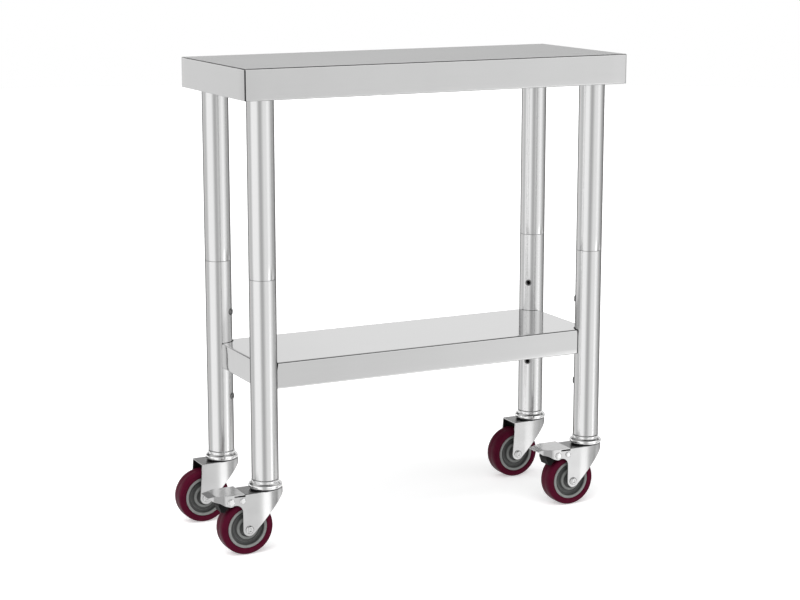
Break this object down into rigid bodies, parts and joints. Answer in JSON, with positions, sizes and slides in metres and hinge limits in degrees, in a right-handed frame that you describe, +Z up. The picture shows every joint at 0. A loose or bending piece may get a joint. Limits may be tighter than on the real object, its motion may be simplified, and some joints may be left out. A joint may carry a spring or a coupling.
{
  "type": "stainless work table",
  "caption": "Narrow stainless work table: box-edge top on round tube legs with an undershelf, rolling on swivel casters, the front ones with pedal brakes.",
  "frame": {"origin": "centre of the bottom of the box round the whole object, on the floor; the worktop's own centre is 34.75 mm to +X of it because the front-left brake pedal reaches past the worktop", "axes": "+X along the worktop towards the end the casters' forks lead to, -Y the front long side with the braked casters, +Z up"},
  "size_m": [0.8314, 0.3048, 0.8636],
  "materials": {
    "worktop_steel": "stainless sheet with a fine straight grain",
    "shelf_steel": "polished stainless sheet",
    "leg_steel": "satin stainless tube",
    "inner_steel": "plain mill-finish steel",
    "channel_zinc": "galvanised sheet",
    "bolt_zinc": "zinc-plated fastener",
    "mount_chrome": "bright chrome plate",
    "fork_zinc": "bright zinc-plated pressed steel",
    "race_steel": "dark greased race",
    "pedal_zinc": "bright zinc-plated stamping",
    "tyre_polyurethane": "smooth burgundy polyurethane",
    "hub_plastic": "moulded grey plastic",
    "shoe_rubber": "matt black rubber"
  },
  "bodies": {
    "frame": {"worktop": "worktop_steel", "top_channel": "channel_zinc", "undershelf": "shelf_steel", "leg_socket_fl": "inner_steel", "leg_socket_fr": "inner_steel", "leg_socket_bl": "inner_steel", "leg_socket_br": "inner_steel", "leg_upper_fl": "leg_steel", "leg_upper_fr": "leg_steel", "leg_upper_bl": "leg_steel", "leg_upper_br": "leg_steel", "leg_sleeve_fl": "inner_steel", "leg_sleeve_fr": "inner_steel", "leg_sleeve_bl": "inner_steel", "leg_sleeve_br": "inner_steel", "leg_lower_fl": "leg_steel", "leg_lower_fr": "leg_steel", "leg_lower_bl": "leg_steel", "leg_lower_br": "leg_steel", "shelf_bolt_fl": "bolt_zinc", "shelf_bolt_fr": "bolt_zinc", "shelf_bolt_bl": "bolt_zinc", "shelf_bolt_br": "bolt_zinc", "caster_mount_fl": "mount_chrome", "caster_mount_fr": "mount_chrome", "caster_mount_bl": "mount_chrome", "caster_mount_br": "mount_chrome"},
    "swivel_fl": {"fork_fl": "fork_zinc", "swivel_race_fl": "race_steel", "axle_bolt_fl": "bolt_zinc", "axle_nut_fl": "bolt_zinc", "brake_pivot_fl": "pedal_zinc", "brake_stop_fl": "pedal_zinc"},
    "wheel_fl": {"hub_fl": "hub_plastic", "tyre_fl": "tyre_polyurethane"},
    "brake_fl": {"brake_pedal_fl": "pedal_zinc", "brake_shoe_fl": "shoe_rubber"},
    "swivel_fr": {"fork_fr": "fork_zinc", "swivel_race_fr": "race_steel", "axle_bolt_fr": "bolt_zinc", "axle_nut_fr": "bolt_zinc", "brake_pivot_fr": "pedal_zinc", "brake_stop_fr": "pedal_zinc"},
    "wheel_fr": {"hub_fr": "hub_plastic", "tyre_fr": "tyre_polyurethane"},
    "brake_fr": {"brake_pedal_fr": "pedal_zinc", "brake_shoe_fr": "shoe_rubber"},
    "swivel_bl": {"fork_bl": "fork_zinc", "swivel_race_bl": "race_steel", "axle_bolt_bl": "bolt_zinc", "axle_nut_bl": "bolt_zinc"},
    "wheel_bl": {"hub_bl": "hub_plastic", "tyre_bl": "tyre_polyurethane"},
    "swivel_br": {"fork_br": "fork_zinc", "swivel_race_br": "race_steel", "axle_bolt_br": "bolt_zinc", "axle_nut_br": "bolt_zinc"},
    "wheel_br": {"hub_br": "hub_plastic", "tyre_br": "tyre_polyurethane"}
  },
  "joints": [
    {"name": "swivel_turn_fl", "type": "hinge", "parent": "frame", "child": "swivel_fl", "pos_m": [-0.29975, -0.1059, 0.1131], "axis": [0, 0, 1], "continuous": true},
    {"name": "wheel_spin_fl", "type": "hinge", "parent": "swivel_fl", "child": "wheel_fl", "pos_m": [-0.34075, -0.1059, 0.04926], "axis": [0, 1, 0], "continuous": true},
    {"name": "brake_press_fl", "type": "hinge", "parent": "swivel_fl", "child": "brake_fl", "pos_m": [-0.37575, -0.1059, 0.104], "axis": [0, -1, 0], "range_deg": [0, 14]},
    {"name": "swivel_turn_fr", "type": "hinge", "parent": "frame", "child": "swivel_fr", "pos_m": [0.36925, -0.1059, 0.1131], "axis": [0, 0, 1], "continuous": true},
    {"name": "wheel_spin_fr", "type": "hinge", "parent": "swivel_fr", "child": "wheel_fr", "pos_m": [0.32825, -0.1059, 0.04926], "axis": [0, 1, 0], "continuous": true},
    {"name": "brake_press_fr", "type": "hinge", "parent": "swivel_fr", "child": "brake_fr", "pos_m": [0.29325, -0.1059, 0.104], "axis": [0, -1, 0], "range_deg": [0, 14]},
    {"name": "swivel_turn_bl", "type": "hinge", "parent": "frame", "child": "swivel_bl", "pos_m": [-0.29975, 0.1059, 0.1131], "axis": [0, 0, 1], "continuous": true},
    {"name": "wheel_spin_bl", "type": "hinge", "parent": "swivel_bl", "child": "wheel_bl", "pos_m": [-0.34075, 0.1059, 0.04926], "axis": [0, 1, 0], "continuous": true},
    {"name": "swivel_turn_br", "type": "hinge", "parent": "frame", "child": "swivel_br", "pos_m": [0.36925, 0.1059, 0.1131], "axis": [0, 0, 1], "continuous": true},
    {"name": "wheel_spin_br", "type": "hinge", "parent": "swivel_br", "child": "wheel_br", "pos_m": [0.32825, 0.1059, 0.04926], "axis": [0, 1, 0], "continuous": true}
  ]
}
